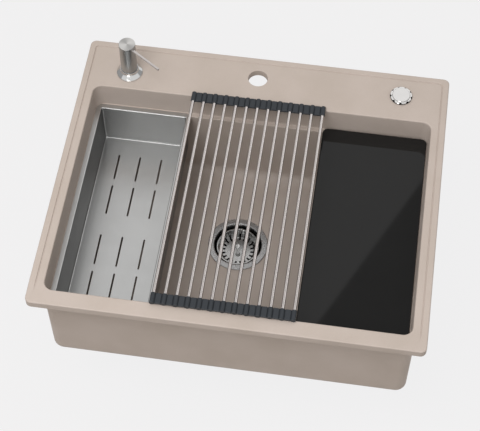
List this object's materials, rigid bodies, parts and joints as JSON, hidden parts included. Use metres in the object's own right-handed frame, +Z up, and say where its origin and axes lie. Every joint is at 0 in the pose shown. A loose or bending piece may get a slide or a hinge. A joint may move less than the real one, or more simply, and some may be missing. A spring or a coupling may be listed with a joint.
{
  "type": "workstation kitchen sink",
  "caption": "Drop-in stone-composite kitchen sink whose ledge carries a sliding steel colander, a glass board and a roll-up mat, with soap dispenser and lifting basket waste.",
  "frame": {"origin": "centre of the rim's footprint, at the worktop's surface (the rim's underside)", "axes": "+X to the right as seen by the person at the sink, +Y to the back, towards the tap, +Z up"},
  "size_m": [0.65, 0.55, 0.4528],
  "materials": {
    "stone_composite": "matt taupe, finely speckled",
    "polished_steel": "polished stainless",
    "chrome_trim": "chrome",
    "brushed_steel": "turned, fine rings",
    "brushed_sheet": "brushed lengthwise",
    "mat_steel": "satin",
    "spring_steel": "drawn",
    "brass_fittings": "turned",
    "black_glass": "opaque, polished",
    "grey_silicone": "matt dark slate",
    "black_rubber": "matt",
    "grey_plastic": "moulded",
    "white_plastic": "moulded"
  },
  "bodies": {
    "sink": {"sink_basin": "stone_composite", "strainer_body": "polished_steel", "flange_gasket": "black_rubber", "floor_gasket": "black_rubber", "strainer_locknut": "grey_plastic", "waste_tail": "grey_plastic", "tail_washer": "black_rubber", "coupling_nut": "grey_plastic", "pivot_nut": "grey_plastic", "cable_glands": "brass_fittings", "control_gasket": "black_rubber", "control_ring": "chrome_trim", "control_nut": "brass_fittings", "control_spring": "spring_steel", "dispenser_gasket": "black_rubber", "dispenser_flange": "polished_steel", "dispenser_shank": "grey_plastic", "dispenser_nut": "grey_plastic", "pump_barrel": "white_plastic", "pump_spring": "spring_steel", "dip_tube": "white_plastic", "soap_bottle": "white_plastic"},
    "basket": {"strainer_basket": "polished_steel", "basket_stopper": "black_rubber", "basket_post": "polished_steel"},
    "lifting_rod": {"pivot_rod": "spring_steel"},
    "button": {"control_button": "chrome_trim"},
    "plunger": {"pump_plunger": "white_plastic"},
    "dispenser_head": {"pump_head": "brushed_steel", "pump_spout": "brushed_steel"},
    "colander": {"colander": "brushed_sheet"},
    "board": {"glass_board": "black_glass"},
    "mat_01": {"mat_rod_01": "mat_steel", "mat_cap_01": "grey_silicone"},
    "mat_02": {"mat_rod_02": "mat_steel", "mat_cap_02": "grey_silicone"},
    "mat_03": {"mat_rod_03": "mat_steel", "mat_cap_03": "grey_silicone"},
    "mat_04": {"mat_rod_04": "mat_steel", "mat_cap_04": "grey_silicone"},
    "mat_05": {"mat_rod_05": "mat_steel", "mat_cap_05": "grey_silicone"},
    "mat_06": {"mat_rod_06": "mat_steel", "mat_cap_06": "grey_silicone"},
    "mat_07": {"mat_rod_07": "mat_steel", "mat_cap_07": "grey_silicone"},
    "mat_08": {"mat_rod_08": "mat_steel", "mat_cap_08": "grey_silicone"},
    "mat_09": {"mat_rod_09": "mat_steel", "mat_cap_09": "grey_silicone"},
    "mat_10": {"mat_rod_10": "mat_steel", "mat_cap_10": "grey_silicone"},
    "mat_11": {"mat_rod_11": "mat_steel", "mat_cap_11": "grey_silicone"},
    "mat_12": {"mat_rod_12": "mat_steel", "mat_cap_12": "grey_silicone"},
    "mat_13": {"mat_rod_13": "mat_steel", "mat_cap_13": "grey_silicone"}
  },
  "joints": [
    {"name": "basket_lift", "type": "slide", "parent": "sink", "child": "basket", "axis": [0, 0, 1], "range_m": [0, 0.008]},
    {"name": "rod_tilt", "type": "hinge", "parent": "sink", "child": "lifting_rod", "pos_m": [0.0085, 0.009, -0.288], "axis": [0, 1, 0], "range_deg": [0, 16.86]},
    {"name": "button_press", "type": "slide", "parent": "sink", "child": "button", "axis": [0, 0, -1], "range_m": [0, 0.004], "deforming": ["control_spring"]},
    {"name": "pump_press", "type": "slide", "parent": "sink", "child": "plunger", "axis": [0, 0, -1], "range_m": [0, 0.012], "stiffness_N_per_m": 400, "springref_m": -0.015, "deforming": ["pump_spring"]},
    {"name": "spout_swivel", "type": "hinge", "parent": "plunger", "child": "dispenser_head", "pos_m": [-0.243, 0.212, 0.06], "axis": [0, 0, 1], "continuous": true},
    {"name": "colander_slide", "type": "slide", "parent": "sink", "child": "colander", "axis": [1, 0, 0], "range_m": [0, 0.115]},
    {"name": "board_slide", "type": "slide", "parent": "sink", "child": "board", "axis": [-1, 0, 0], "range_m": [0, 0.115]},
    {"name": "mat_lift", "type": "slide", "parent": "sink", "child": "mat_01", "axis": [0, 0, 1], "range_m": [0, 0.06]},
    {"name": "mat_bend_01", "type": "hinge", "parent": "mat_01", "child": "mat_02", "pos_m": [-0.11025, -0.036, 0.0217], "axis": [0, -1, 0], "range_deg": [0, 26]},
    {"name": "mat_bend_02", "type": "hinge", "parent": "mat_02", "child": "mat_03", "pos_m": [-0.09115, -0.036, 0.0217], "axis": [0, -1, 0], "range_deg": [0, 26]},
    {"name": "mat_bend_03", "type": "hinge", "parent": "mat_03", "child": "mat_04", "pos_m": [-0.07205, -0.036, 0.0217], "axis": [0, -1, 0], "range_deg": [0, 26]},
    {"name": "mat_bend_04", "type": "hinge", "parent": "mat_04", "child": "mat_05", "pos_m": [-0.05295, -0.036, 0.0217], "axis": [0, -1, 0], "range_deg": [0, 26]},
    {"name": "mat_bend_05", "type": "hinge", "parent": "mat_05", "child": "mat_06", "pos_m": [-0.03385, -0.036, 0.0217], "axis": [0, -1, 0], "range_deg": [0, 26]},
    {"name": "mat_bend_06", "type": "hinge", "parent": "mat_06", "child": "mat_07", "pos_m": [-0.01475, -0.036, 0.0217], "axis": [0, -1, 0], "range_deg": [0, 26]},
    {"name": "mat_bend_07", "type": "hinge", "parent": "mat_07", "child": "mat_08", "pos_m": [0.00435, -0.036, 0.0217], "axis": [0, -1, 0], "range_deg": [0, 26]},
    {"name": "mat_bend_08", "type": "hinge", "parent": "mat_08", "child": "mat_09", "pos_m": [0.02345, -0.036, 0.0217], "axis": [0, -1, 0], "range_deg": [0, 26]},
    {"name": "mat_bend_09", "type": "hinge", "parent": "mat_09", "child": "mat_10", "pos_m": [0.04255, -0.036, 0.0217], "axis": [0, -1, 0], "range_deg": [0, 26]},
    {"name": "mat_bend_10", "type": "hinge", "parent": "mat_10", "child": "mat_11", "pos_m": [0.06165, -0.036, 0.0217], "axis": [0, -1, 0], "range_deg": [0, 26]},
    {"name": "mat_bend_11", "type": "hinge", "parent": "mat_11", "child": "mat_12", "pos_m": [0.08075, -0.036, 0.0217], "axis": [0, -1, 0], "range_deg": [0, 26]},
    {"name": "mat_bend_12", "type": "hinge", "parent": "mat_12", "child": "mat_13", "pos_m": [0.09985, -0.036, 0.0217], "axis": [0, -1, 0], "range_deg": [0, 26]}
  ],
  "couplings": [
    {"joint": "rod_tilt", "follows": "basket_lift", "rad_per_m": 36.77},
    {"joint": "button_press", "follows": "basket_lift", "ratio": 0.5},
    {"joint": "mat_bend_02", "follows": "mat_bend_01", "ratio": 1},
    {"joint": "mat_bend_03", "follows": "mat_bend_01", "ratio": 1},
    {"joint": "mat_bend_04", "follows": "mat_bend_01", "ratio": 1},
    {"joint": "mat_bend_05", "follows": "mat_bend_01", "ratio": 1},
    {"joint": "mat_bend_06", "follows": "mat_bend_01", "ratio": 1},
    {"joint": "mat_bend_07", "follows": "mat_bend_01", "ratio": 1},
    {"joint": "mat_bend_08", "follows": "mat_bend_01", "ratio": 1},
    {"joint": "mat_bend_09", "follows": "mat_bend_01", "ratio": 1},
    {"joint": "mat_bend_10", "follows": "mat_bend_01", "ratio": 1},
    {"joint": "mat_bend_11", "follows": "mat_bend_01", "ratio": 1},
    {"joint": "mat_bend_12", "follows": "mat_bend_01", "ratio": 1}
  ]
}
